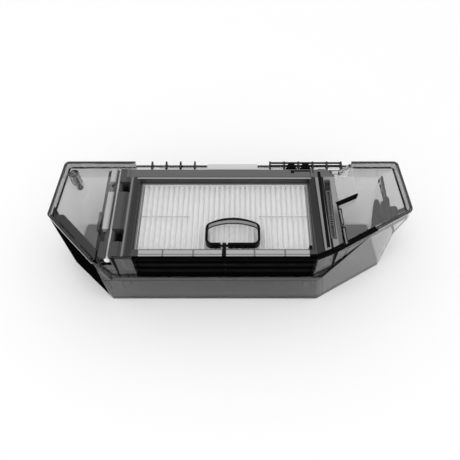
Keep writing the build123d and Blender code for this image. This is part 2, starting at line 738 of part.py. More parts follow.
def door_trim():
    """A black strip in the door's front right edge, from the clear strip to the side."""
    outline = door_outline()
    line = [(STRIP_RIGHT + 0.1, DOOR_FRONT)] + outline[2:5]
    return wall(line, DOOR_TRIM, HEIGHT - DOOR_TRIM, HEIGHT)


def catch_plate():
    """A black plate with two legs, sunk in the door's back bar in front of the catch."""
    x0, x1 = CATCH_PLATE_X
    top = HEIGHT - RIM_STEP
    back = DOOR_BACK - 0.6
    front = back - CATCH_PLATE_DEPTH
    body = block(x0, x1, front, back, top - 0.6, top)
    return body - block(
        x0 + CATCH_PLATE_LEG, x1 - CATCH_PLATE_LEG, front - 1, front + CATCH_PLATE_DEPTH / 2, 0, HEIGHT
    )


def door_cavities():
    """The bars are open below, under a top skin."""
    top = HEIGHT - DOOR_WALL
    low = DOOR_BOTTOM - 1
    front = DOOR_FRONT + DOOR_WALL
    back = DOOR_BACK - DOOR_WALL
    left = block(HINGE_SIDE + DOOR_WALL, OPEN_LEFT - DOOR_WALL, front, back, low, top - RIM_STEP)
    rear = block(OPEN_LEFT, OPEN_RIGHT, OPEN_BACK + DOOR_WALL, back, low, top - RIM_STEP)
    right = block(
        OPEN_RIGHT + DOOR_WALL, RAIL_BACK_X[0] - DOOR_WALL, OPEN_FRONT, OPEN_BACK, low, top - RIM_STEP
    )
    latch = block(
        RAIL_FRONT_X[0], SLIDER_X + SLIDER_WIDTH, SLIDER_FRONT, OPEN_BACK, low, SLIDER_FOOT - DOOR_WALL
    )
    return left + rear + right + latch


def rail_face(gap):
    """The black rail in plan: it widens towards the front."""
    return polygon([
        (RAIL_FRONT_X[0] + gap, RAIL_FRONT + gap),
        (RAIL_FRONT_X[1] - gap, RAIL_FRONT + gap),
        (RAIL_BACK_X[1] - gap, RAIL_BACK - gap),
        (RAIL_BACK_X[0] + gap, RAIL_BACK - gap),
    ])


def bar_steps():
    """What the bars lie lower than the rim round the opening."""
    low = HEIGHT - RIM_STEP
    left = block(HINGE_SIDE, OPEN_LEFT - RIM_WIDTH_LEFT, DOOR_FRONT - 1, DOOR_BACK + 1, low, HEIGHT + 1)
    back = block(
        OPEN_LEFT - RIM_WIDTH_LEFT, OPEN_RIGHT + RIM_WIDTH, OPEN_BACK + RIM_WIDTH, DOOR_BACK + 1,
        low, HEIGHT + 1,
    )
    right = polygon([
        (OPEN_RIGHT + RIM_RIGHT_FRONT, OPEN_FRONT),
        (RAIL_FRONT_X[0] + 0.5, OPEN_FRONT),
        (RAIL_BACK_X[0] + 0.5, DOOR_BACK + 1),
        (OPEN_RIGHT + RIM_RIGHT_BACK, DOOR_BACK + 1),
    ])
    return left + back + Pos(0, 0, low) * extrude(right, RIM_STEP + 1)


def door_frame():
    outline = door_outline()
    plan = make_face(FilletPolyline(*outline, radius=[0, 0, 0, 0, 0, DOOR_CORNER_R], close=True))
    body = Pos(0, 0, DOOR_BOTTOM) * extrude(plan, HEIGHT - DOOR_BOTTOM)
    body -= door_cavities()
    opening = block(OPEN_LEFT, OPEN_RIGHT, OPEN_FRONT, OPEN_BACK, LIP_TOP, HEIGHT)
    bevel = loft([
        Pos((OPEN_LEFT + OPEN_RIGHT) / 2, (OPEN_FRONT + OPEN_BACK) / 2, HEIGHT - low)
        * Rectangle(OPEN_RIGHT - OPEN_LEFT + 2 * out, OPEN_BACK - OPEN_FRONT + 2 * out)
        for low, out in ((RIM_BEVEL, 0), (0, RIM_BEVEL))
    ], ruled=True)
    body -= opening + bevel
    body -= block(
        OPEN_LEFT + LIP, OPEN_RIGHT - LIP, OPEN_FRONT + LIP, OPEN_BACK - LIP, 0, HEIGHT
    )
    body -= bar_steps()
    body -= Pos(0, 0, HEIGHT - RAIL_DEPTH) * extrude(rail_face(0), RAIL_DEPTH + 1)
    body -= block(
        SLIDER_X - SLIDER_GAP, SLIDER_X + SLIDER_WIDTH + SLIDER_GAP,
        SLIDER_FRONT - SLIDER_GAP, SLIDER_FRONT + SLIDER_LENGTH + SPRING_LENGTH,
        SLIDER_FOOT - SLIDER_GAP, HEIGHT + 1,
    )
    for y in HOOK_YS:
        body -= block(
            SLIDER_X, door_right(y) + 1, y - HOOK_GAP, y + HOOK_LENGTH + LATCH_TRAVEL + HOOK_GAP,
            SLIDER_FOOT - SLIDER_GAP, SLIDER_FOOT + HOOK_THICK + HOOK_GAP,
        )
    body -= block(STRIP_LEFT, STRIP_RIGHT, DOOR_FRONT - 1, OPEN_FRONT + 1, STRIP_Z, HEIGHT + 1)
    for y0, y1 in COVER_KNUCKLES:
        body -= block(HINGE_SIDE - 1, HINGE_SIDE + NOTCH, y0, y1, DOOR_BOTTOM - 1, HEIGHT + 1)
    spans = [DOOR_FRONT] + [end for pair in COVER_KNUCKLES for end in pair] + [DOOR_BACK]
    for index in range(0, len(spans), 2):
        body += door_knuckle(spans[index], spans[index + 1])
    body += finger_tab()
    body -= tab_edge() + door_trim() + catch_plate()
    body -= pin_window(BAY_FRONT, BAY_BACK)
    return body - rod_y(HINGE_X, HINGE_Z, PIN_R + PIN_RUN, BAY_FRONT, BAY_BACK)


def hinge_pin():
    front = DOOR_FRONT - DOOR_GAP / 2
    shank = rod_y(HINGE_X, HINGE_Z, PIN_R, front, DOOR_BACK)
    head = rod_y(HINGE_X, HINGE_Z, PIN_HEAD_R, front - PIN_HEAD_LENGTH, front)
    return shank + chamfer(head.edges().group_by(Axis.Y)[0], PIN_HEAD_LENGTH * 0.4)


def front_strip():
    """A clear strip with a thin skin over upright ribs, split by the post's slot."""
    top = HEIGHT
    body = block(STRIP_LEFT, STRIP_RIGHT, DOOR_FRONT, OPEN_FRONT, STRIP_Z, top)
    hollow = block(
        STRIP_LEFT + 1, STRIP_RIGHT - 1, DOOR_FRONT + 1, OPEN_FRONT - 1, STRIP_Z - 1, top - STRIP_SKIN
    )
    middle = (STRIP_LEFT + STRIP_RIGHT) / 2
    for index in range(STRIP_TICKS):
        x = middle + (index - (STRIP_TICKS - 1) / 2) * STRIP_TICK_PITCH
        hollow -= block(x - STRIP_TICK / 2, x + STRIP_TICK / 2, DOOR_FRONT, OPEN_FRONT, 0, HEIGHT)
    slot = POST_WIDTH / 2 + POST_SLOT_GAP
    return body - hollow - block(POST_X - slot, POST_X + slot, DOOR_FRONT - 1, 0, 0, HEIGHT + 1)


def strip_clip():
    left = STRIP_RIGHT + 0.1
    upright = block(
        left, left + CLIP_WIDTH, OPEN_FRONT, OPEN_FRONT + CLIP_REACH, CARTRIDGE_TOP + 0.1, HEIGHT
    )
    return upright


def ring_post():
    """Post on the front bar, with the eye that the ring's bar turns in."""
    half = POST_WIDTH / 2
    arm = block(POST_X - half, POST_X + half, DOOR_FRONT, RING_AXIS_Y, STRIP_Z, HEIGHT)
    eye = rod_x(RING_AXIS_Y, RING_AXIS_Z, EYE_R, POST_X - half, POST_X + half)
    arm -= block(
        POST_X - half, POST_X + half, OPEN_FRONT, RING_AXIS_Y, STRIP_Z, RING_AXIS_Z - EYE_R * 0.6
    )
    hole = rod_x(RING_AXIS_Y, RING_AXIS_Z, RING_PIN_R + RING_PIN_RUN, POST_X - half, POST_X + half)
    trim = block(POST_X - half, POST_X + half, RING_AXIS_Y, 0, 0, HEIGHT + 1)
    return (arm - trim) + eye - hole


def ring_outline(distance):
    left = RING_X - RING_WIDTH / 2 + distance
    right = RING_X + RING_WIDTH / 2 - distance
    front = RING_FRONT_Y + distance
    shoulder = RING_SHOULDER_Y
    top = RING_TOP_Y - distance
    lines = Polyline((left, shoulder), (left, front), (right, front), (right, shoulder))
    arch = ThreePointArc((right, shoulder), (RING_X, top), (left, shoulder))
    face = make_face([lines, arch])
    return fillet(face.vertices(), max(RING_RADIUS - distance, MIN_RADIUS))


def pull_ring():
    """A D-shaped ring with upright walls, cut at the front for the eye of its post."""
    face = ring_outline(0) - ring_outline(RING_WALL)
    ring = Pos(0, 0, RING_BOTTOM) * extrude(face, HEIGHT - RING_BOTTOM)
    half = POST_WIDTH / 2 + RING_GAP
    ring -= block(
        POST_X - half, POST_X + half, RING_FRONT_Y - 1, RING_FRONT_Y + RING_WALL + 1, 0, HEIGHT + 1
    )
    return ring + rod_x(RING_AXIS_Y, RING_AXIS_Z, RING_PIN_R, POST_X - half - 0.5, POST_X + half + 0.5)


def cartridge_box():
    return (
        OPEN_LEFT + CARTRIDGE_GAP, OPEN_RIGHT - CARTRIDGE_GAP,
        OPEN_FRONT + CARTRIDGE_GAP, OPEN_BACK - CARTRIDGE_GAP,
    )


def filter_frame():
    x0, x1, y0, y1 = cartridge_box()
    return ring_block(x0, x1, y0, y1, LIP_TOP + FOAM, CARTRIDGE_TOP, CARTRIDGE_WALL)


def filter_gasket():
    x0, x1, y0, y1 = cartridge_box()
    return ring_block(x0, x1, y0, y1, LIP_TOP, LIP_TOP + FOAM, LIP - CARTRIDGE_GAP)


def filter_pleats():
    """One sheet folded to and fro across the width, each fold running front to back."""
    x0, x1, y0, y1 = cartridge_box()
    left = x0 + CARTRIDGE_WALL
    right = x1 - CARTRIDGE_WALL
    pitch = (right - left) / PLEATS
    foot = max(PLEAT_FOOT, LIP_TOP + FOAM)
    upper = []
    lower = []
    for index in range(2 * PLEATS + 1):
        x = left + index * pitch / 2
        high = index % 2 == 1
        z = PLEAT_TOP if high else foot + PLEAT_SHEET * 2
        upper.append((x, z))
        lower.append((x, z - PLEAT_SHEET * 2))
    return along_y(upper + lower[::-1], y0 + CARTRIDGE_WALL, y1 - CARTRIDGE_WALL)


def pleat_thread():
    """Two spacer threads that lie across the crests of the pleats."""
    x0, x1, y0, y1 = cartridge_box()
    middle = (y0 + y1) / 2
    left = x0 + CARTRIDGE_WALL
    right = x1 - CARTRIDGE_WALL
    z = PLEAT_TOP + THREAD_R
    first = rod_x(middle, z, THREAD_R, left, left + THREAD_LENGTHS[0])
    return first + rod_x(middle, z, THREAD_R, right - THREAD_LENGTHS[1], right)


def door_gasket():
    out = SEAL_WIDTH - LIP / 2
    return ring_block(
        OPEN_LEFT - out, OPEN_RIGHT + out, OPEN_FRONT - out, OPEN_BACK + out,
        DOOR_BOTTOM - SEAL_THICK, DOOR_BOTTOM, SEAL_WIDTH,
    )


def screen_rectangle():
    edge = LIP / 2 + 0.1
    return OPEN_LEFT + edge, OPEN_RIGHT - edge, OPEN_FRONT + edge, OPEN_BACK - edge


def screen_frame():
    """Frame with three cross bars that clamps the mesh against the door's lip."""
    x0, x1, y0, y1 = screen_rectangle()
    z0 = DOOR_BOTTOM - SEAL_THICK
    z1 = DOOR_BOTTOM - SCREEN_THICK
    body = ring_block(x0, x1, y0, y1, z0, z1, SCREEN_BAR)
    for index in range(1, 4):
        x = x0 + (x1 - x0) * index / 4
        body += block(x - SCREEN_BAR / 2, x + SCREEN_BAR / 2, y0 + 1, y1 - 1, z0, z1)
    return body


def screen_mesh():
    x0, x1, y0, y1 = screen_rectangle()
    return block(x0, x1, y0, y1, DOOR_BOTTOM - SCREEN_THICK, DOOR_BOTTOM)


def latch_rail():
    return Pos(0, 0, HEIGHT - RAIL_DEPTH) * extrude(rail_face(0.05), RAIL_DEPTH - 0.3)


def latch_slider():
    """A long bar with grip ribs on top and two hooks at its right."""
    back = SLIDER_FRONT + SLIDER_LENGTH
    body = block(SLIDER_X, SLIDER_X + SLIDER_WIDTH, SLIDER_FRONT, back, SLIDER_FOOT, SLIDER_TOP, 1.0)
    body -= block(
        SLIDER_X + 0.8, SLIDER_X + SLIDER_WIDTH - 0.8, SLIDER_FRONT + 0.8, back - 0.8,
        SLIDER_TOP - 1.6, SLIDER_TOP + 1, 0.5,
    )
    for index in range(5):
        y = SLIDER_FRONT + 9 + 1.6 * index
        body += block(SLIDER_X + 0.6, SLIDER_X + SLIDER_WIDTH - 0.6, y, y + 0.7, SLIDER_FOOT + 1, SLIDER_TOP)
    for y in HOOK_YS:
        body += block(
            SLIDER_X + SLIDER_WIDTH - 1, bay_right(y) + HOOK_REACH,
            y, y + HOOK_LENGTH, SLIDER_FOOT, SLIDER_FOOT + HOOK_THICK,
        )
    return body


def latch_spring():
    """A coil between the slider's back end and the end of its pocket, in short straight pieces."""
    start = SLIDER_FRONT + SLIDER_LENGTH + SPRING_WIRE + 0.05
    length = SPRING_LENGTH - 2 * SPRING_WIRE - 0.1
    x = SLIDER_X + SLIDER_WIDTH / 2
    z = (SLIDER_FOOT + SLIDER_TOP) / 2
    count = SPRING_TURNS * SPRING_SIDES
    points = []
    for index in range(count + 1):
        turn = 2 * math.pi * index / SPRING_SIDES
        points.append((
            x + SPRING_R * math.cos(turn), start + length * index / count, z + SPRING_R * math.sin(turn)
        ))
    path = Polyline(*points)
    section = Plane(origin=path @ 0, z_dir=path % 0) * RegularPolygon(SPRING_WIRE, 6)
    return sweep(section, path=path, transition=Transition.RIGHT)


def outlet_louvre():
    """A framed grille with tilted slats and one middle rib, under a border that closes the wall."""
    y0 = FRONT_FACE_Y
    y1 = y0 + LOUVRE_THICK
    body = block(LOUVRE_LEFT, LOUVRE_RIGHT, y0, y1, LOUVRE_FOOT, LOUVRE_TOP)
    left = LOUVRE_LEFT + LOUVRE_BORDER
    right = LOUVRE_RIGHT - LOUVRE_BORDER
    border = LOUVRE_TOP - LOUVRE_BORDER
    body -= block(left, right, y0 - 1, y1 + 1, LOUVRE_FOOT + LOUVRE_BORDER, border)
    body += block(LOUVRE_LEFT, LOUVRE_RIGHT, y0, BAY_FRONT, border, LOUVRE_TOP)
    pitch = (LOUVRE_TOP - LOUVRE_FOOT) / (SLATS + 0.2)
    for index in range(SLATS):
        z = LOUVRE_FOOT + pitch * (index + 0.35)
        slat = [
            (y0 + 0.1, z),
            (y1, z + SLAT_RISE),
            (y1, z + SLAT_RISE + SLAT_THICK),
            (y0 + 0.1, z + SLAT_THICK),
        ]
        body += along_x(slat, left - 0.2, right + 0.2)
    half = CENTRE_RIB_WIDTH / 2
    body += block(
        CENTRE_RIB_X - half, CENTRE_RIB_X + half, y0 + 0.3, y1,
        LOUVRE_FOOT + LOUVRE_BORDER / 2, LOUVRE_TOP - LOUVRE_BORDER / 2,
    )
    return body


def outlet_mesh():
    y0 = FRONT_FACE_Y + LOUVRE_THICK
    return block(
        LOUVRE_LEFT, LOUVRE_RIGHT, y0, y0 + MESH_THICK, LOUVRE_FOOT, LOUVRE_TOP - LOUVRE_BORDER
    )


def rear_panel():
    """Clear panel behind the door: a shelf and the upright wall below its back edge."""
    left = REAR_LEFT + FIT
    right = REAR_RIGHT - FIT
    shelf = block(left, SHELF_RIGHT - FIT, REAR_FRONT, BACK, PLATE_Z, PLATE_TOP)
    upright = block(left, right, BACK - WALL, BACK, SCOOP_TOP_Z + 0.1, PLATE_TOP)
    return shelf + upright


def comb(first_x, count):
    """Ribs at an even pitch, joined by a thin base along their back ends."""
    body = block(
        first_x - RIB_WIDTH / 2, first_x + (count - 1) * RIB_PITCH + RIB_WIDTH / 2,
        BACK - COMB_BASE_WIDTH, BACK, PLATE_TOP, PLATE_TOP + COMB_BASE,
    )
    for index in range(count):
        x = first_x + index * RIB_PITCH
        body += block(x - RIB_WIDTH / 2, x + RIB_WIDTH / 2, RIB_FRONT, BACK, PLATE_TOP, HEIGHT)
    return body


def rear_comb_left():
    return comb(LEFT_RIB_X, LEFT_RIBS)


def rear_comb_right():
    """The right group of ribs, with a rail along the top near its back edge."""
    end = RIGHT_RIB_X + (RIGHT_RIBS - 1) * RIB_PITCH + RIB_WIDTH / 2
    back = BACK - RAIL_TOP_IN
    rail = block(
        RIGHT_RIB_X - RIB_WIDTH / 2, end, back - RAIL_TOP_THICK, back, HEIGHT - RAIL_TOP_THICK, HEIGHT
    )
    return comb(RIGHT_RIB_X, RIGHT_RIBS) + rail


def rear_pad():
    """A pale block between the two combs."""
    return block(
        PAD_LEFT, PAD_RIGHT, RIB_FRONT + 0.2, BACK - 0.3, PLATE_TOP, PLATE_TOP + PAD_THICK, 0.6
    )


def rear_catch():
    """Stepped black blocks in two gaps of the right comb, each lower and wider towards the door."""
    blocks = []
    for gap in (CATCH_RIB, CATCH_RIB + 1):
        middle = RIGHT_RIB_X + (gap + 0.5) * RIB_PITCH
        y = RIB_FRONT + 0.1
        body = Part()
        for length, rise in zip(CATCH_LENGTHS, CATCH_STEPS):
            body += block(middle - length / 2, middle + length / 2, y, y + 1.3, PLATE_TOP, PLATE_TOP + rise)
            y += 1.2
        blocks.append(body)
    return Part() + blocks


def inlet_throat():
    """A rectangular tube through the sloped back, with a flange outside and ears inside."""
    half = INLET_HALF
    body = along_y(
        [(-half, INLET_FOOT), (half, INLET_FOOT), (half, INLET_TOP), (-half, INLET_TOP)],
        INLET_INNER_Y, INLET_OUTER_Y,
    )
    out = FLANGE
    body += block(
        -half - out, half + out, INLET_OUTER_Y - FLANGE_THICK, INLET_OUTER_Y,
        INLET_FOOT - out, INLET_TOP + out,
    )
    inner = half - INLET_WALL
    body -= block(
        -inner, inner, 0, DEPTH, INLET_FOOT + INLET_WALL, INLET_TOP - INLET_WALL
    )
    body -= block(-inner, inner, 0, FLAP_Y + FLAP_R + 0.4, INLET_TOP - EAR_HEIGHT, INLET_TOP + 1)
    for side in (-1, 1):
        x0, x1 = sorted((side * inner, side * half))
        body += block(
            x0, x1, INLET_INNER_Y - EAR_LENGTH, INLET_INNER_Y + 1, INLET_TOP - EAR_HEIGHT, INLET_TOP
        )
    return body - rod_x(FLAP_Y, FLAP_Z, FLAP_PIN_R + PIN_PRESS, -half, half)


def inlet_seal():
    half = INLET_HALF + FLANGE
    body = block(
        -half, half, INLET_OUTER_Y, INLET_OUTER_Y + INLET_SEAL, INLET_FOOT - FLANGE, INLET_TOP + FLANGE
    )
    inner = INLET_HALF - INLET_WALL
    return body - block(-inner, inner, 0, DEPTH, INLET_FOOT + INLET_WALL, INLET_TOP - INLET_WALL)


def inlet_flap():
    """A plate that hangs from a barrel, a little below the throat's lower wall."""
    half = INLET_HALF - INLET_WALL - FLAP_SIDE_GAP
    barrel = rod_x(FLAP_Y, FLAP_Z, FLAP_R, -half, half)
    back = INLET_INNER_Y - FLAP_END_GAP
    plate = block(-half, half, back - FLAP_THICK, back, INLET_FOOT + 0.5, FLAP_Z)
    rib = block(-half, half, back - FLAP_THICK - 0.8, back, INLET_FOOT + 0.5, INLET_FOOT + 1.7)
    return barrel + plate + rib - rod_x(FLAP_Y, FLAP_Z, FLAP_PIN_R + FLAP_RUN, -half, half)


def flap_pin():
    return rod_x(FLAP_Y, FLAP_Z, FLAP_PIN_R, -INLET_HALF, INLET_HALF)


def cover_screws():
    """Four pan-head screws, seen from below at the foot of their counterbores."""
    group = []
    for x, y, joint in BOSSES:
        seat = joint - BOSS_LAND
        head = rod_z(x, y, HEAD_R, seat - HEAD_HEIGHT, seat)
        head = chamfer(head.edges().group_by(Axis.Z)[0], HEAD_HEIGHT * 0.3)
        head -= rod_z(x, y, DRIVE_R, seat - HEAD_HEIGHT, seat - HEAD_HEIGHT + DRIVE_DEPTH)
        group.append(head + rod_z(x, y, SHANK_R, seat, seat + SCREW_LENGTH))
    return Part() + group


def left_pad_strip():
    """A strip on the left window beside the chamfer, round at the back and cut square in front."""
    rim = corners(HEIGHT)
    (x0, y0), (x1, y1) = rim[1], rim[2]
    turn = math.degrees(math.atan2(y1 - y0, x1 - x0))
    outline = Pos(PAD_STRIP_FROM + PAD_STRIP_LENGTH / 2, PAD_STRIP_IN) * RectangleRounded(
        PAD_STRIP_LENGTH, PAD_STRIP_WIDTH, PAD_STRIP_WIDTH / 2 - 0.1
    )
    strip = Pos(x0, y0, PLATE_TOP) * Rot(0, 0, turn) * extrude(outline, PAD_STRIP_THICK)
    return strip & block(-WIDTH, PAD_STRIP_END_X, -DEPTH, DEPTH, 0, HEIGHT)


def right_bracket():
    """Upright plates below the right window, joined by a thin web under it."""
    top = PLATE_Z - BRACKET_GAP
    pieces = []
    for outline, depth in zip(BRACKET_PIECES, BRACKET_DEPTHS):
        points = [(RIGHT + x, FRONT + y) for x, y in outline]
        pieces.append(Pos(0, 0, top - depth) * extrude(polygon(points), depth))
    x0, x1, y0, y1 = BRACKET_FIN
    pieces.append(block(RIGHT + x0, RIGHT + x1, FRONT + y0, FRONT + y1, top - BRACKET_DEPTHS[1] / 2, top))
    web = [(-24.0, 30.0), (-3.5, 39.0), (-3.5, 41.0), (-24.0, 33.0)]
    web = [(RIGHT + x, FRONT + y) for x, y in web]
    pieces.append(Pos(0, 0, top - BRACKET_WEB) * extrude(polygon(web), BRACKET_WEB))
    room = tub_form(WALL + FIT, FLOOR, HEIGHT)
    return (Part() + pieces) & room


PARTS = {
    "tub": tub,
    "top_cover": top_cover,
    "cover_screws": cover_screws,
    "hinge_pin": hinge_pin,
    "outlet_louvre": outlet_louvre,
    "outlet_mesh": outlet_mesh,
    "groove_seal": groove_seal,
    "edge_seal": edge_seal,
    "rear_panel": rear_panel,
    "rear_comb_left": rear_comb_left,
    "rear_comb_right": rear_comb_right,
    "rear_pad": rear_pad,
    "rear_catch": rear_catch,
    "inlet_throat": inlet_throat,
    "inlet_seal": inlet_seal,
    "inlet_flap": inlet_flap,
    "flap_pin": flap_pin,
    "left_pad_strip": left_pad_strip,
    "right_bracket": right_bracket,
    "door_frame": door_frame,
    "tab_edge": tab_edge,
    "door_trim": door_trim,
    "catch_plate": catch_plate,
    "door_gasket": door_gasket,
    "screen_frame": screen_frame,
    "screen_mesh": screen_mesh,
    "filter_frame": filter_frame,
    "filter_gasket": filter_gasket,
    "filter_pleats": filter_pleats,
    "pleat_thread": pleat_thread,
    "front_strip": front_strip,
    "strip_clip": strip_clip,
    "ring_post": ring_post,
    "pull_ring": pull_ring,
    "latch_rail": latch_rail,
    "latch_slider": latch_slider,
    "latch_spring": latch_spring,
}

os.makedirs("parts", exist_ok=True)
for name, make in PARTS.items():
    export_step(make(), f"parts/{name}.step")
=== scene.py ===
import math
from functools import reduce

import bpy
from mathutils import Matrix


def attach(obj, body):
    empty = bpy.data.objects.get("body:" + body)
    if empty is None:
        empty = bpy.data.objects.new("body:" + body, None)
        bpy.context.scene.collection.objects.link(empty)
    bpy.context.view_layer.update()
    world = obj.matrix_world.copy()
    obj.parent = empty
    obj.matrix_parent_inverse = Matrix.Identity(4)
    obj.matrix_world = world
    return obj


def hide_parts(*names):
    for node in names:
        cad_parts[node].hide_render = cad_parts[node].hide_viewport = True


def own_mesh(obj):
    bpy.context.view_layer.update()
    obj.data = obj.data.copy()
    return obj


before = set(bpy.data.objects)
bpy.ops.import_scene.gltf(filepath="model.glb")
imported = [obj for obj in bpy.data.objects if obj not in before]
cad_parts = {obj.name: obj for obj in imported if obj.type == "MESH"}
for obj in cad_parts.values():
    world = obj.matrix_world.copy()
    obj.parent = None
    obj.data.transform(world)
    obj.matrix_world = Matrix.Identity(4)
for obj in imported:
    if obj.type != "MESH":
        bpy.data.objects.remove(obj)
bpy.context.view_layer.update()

# The camera, matched to the photo.
IMAGE = 460                          # the picture is square, in pixels
FOCAL = 490.0                        # focal length, in pixels
AXIS_PX = (240.0, 230.0)             # where the camera's axis meets the picture
CAMERA = (0.0054, -0.1632, 0.2842)   # metres
PITCH = 58.0                         # degrees below the horizon
SENSOR = 36.0                        # mm
CLIP = (0.01, 20.0)                  # nearest and furthest, metres

# The light, at a level at which a colour renders about as it is written.
WORLD_LIGHT = 0.85
KEY_LIGHT = 1.9                      # watts
KEY_SIZE = 0.6                       # metres
KEY_PLACE = (-0.08, -0.12, 0.95)     # metres
KEY_TILT = (7.0, -5.0)               # degrees about x and y

# The floor, plain near the part and white further away.
FLOOR_GREY = 0.99
FLOOR_HALF = 3.0                     # metres
FLOOR_EDGE = (0.3, 0.15)             # where it turns white and how softly, metres

# Plastic.
IOR = 1.49
GLOSS = 0.03                         # roughness of the clear pieces
TUB_SMOKE = 75.0                     # density of the absorption
COVER_SMOKE = 90.0
CLEAR_SMOKE = 4.0

# Noise: scales are per metre.
NOISE_RANGE = (0.3, 0.7)             # where most values of the noise lie
CLEAR_MOTTLE = 90.0                  # in the gloss of clear pieces
SOLID_MOTTLE = 120.0                 # in the gloss of opaque pieces
GRAIN = (1800.0, 0.06)               # relief of opaque pieces: scale and strength
FIBRE = (6000.0, 0.1)                # relief of the filter paper: scale and strength
RELIEF_DEPTH = 0.0001                # metres

# Masks. Places are in metres, in the frame of the part.
SOFT = 0.0002                        # half the width of a mask's soft edge
LEFT_CHAMFER = (-0.717, -0.697)      # outward directions of the front chamfers, in plan
RIGHT_CHAMFER = (0.5, -0.866)
BOSS_PLACE = (-0.0992, 0.0306)
BOSS_RADIUS = 0.0036
TICK_START = 0.18315                 # puts a tick on each rib of the front strip
TICK_PITCH = 0.0171
KNUCKLES_END = -0.0642               # the door's knuckles lie left of this

# Stripes on the door's bars from left to right: low edge, high edge (None: all beyond) and grey.
# The first left stripe, grey 0.2, is a painted highlight on the ridge of the bar.
LEFT_STRIPES = ((-0.0612, -0.0599, 0.2), (-0.0590, -0.0556, 0.03))
RIGHT_STRIPES = (
    (0.0476, None, 0.025),
    (0.0517, None, 0.004),
    (0.0523, None, 0.24),
    (0.0558, 0.0572, 0.004),
)


def camera():
    data = bpy.data.cameras.new("camera")
    data.sensor_width = SENSOR
    data.lens = FOCAL / IMAGE * SENSOR
    data.shift_x = (IMAGE / 2 - AXIS_PX[0]) / IMAGE
    data.shift_y = (AXIS_PX[1] - IMAGE / 2) / IMAGE
    data.clip_start, data.clip_end = CLIP
    lens = bpy.data.objects.new("camera", data)
    lens.location = CAMERA
    lens.rotation_euler = (math.radians(90.0 - PITCH), 0.0, 0.0)
    bpy.context.scene.collection.objects.link(lens)
    bpy.context.scene.camera = lens


def grey(value):
    return (value, value, value, 1.0)


def is_socket(value):
    return hasattr(value, "is_output")


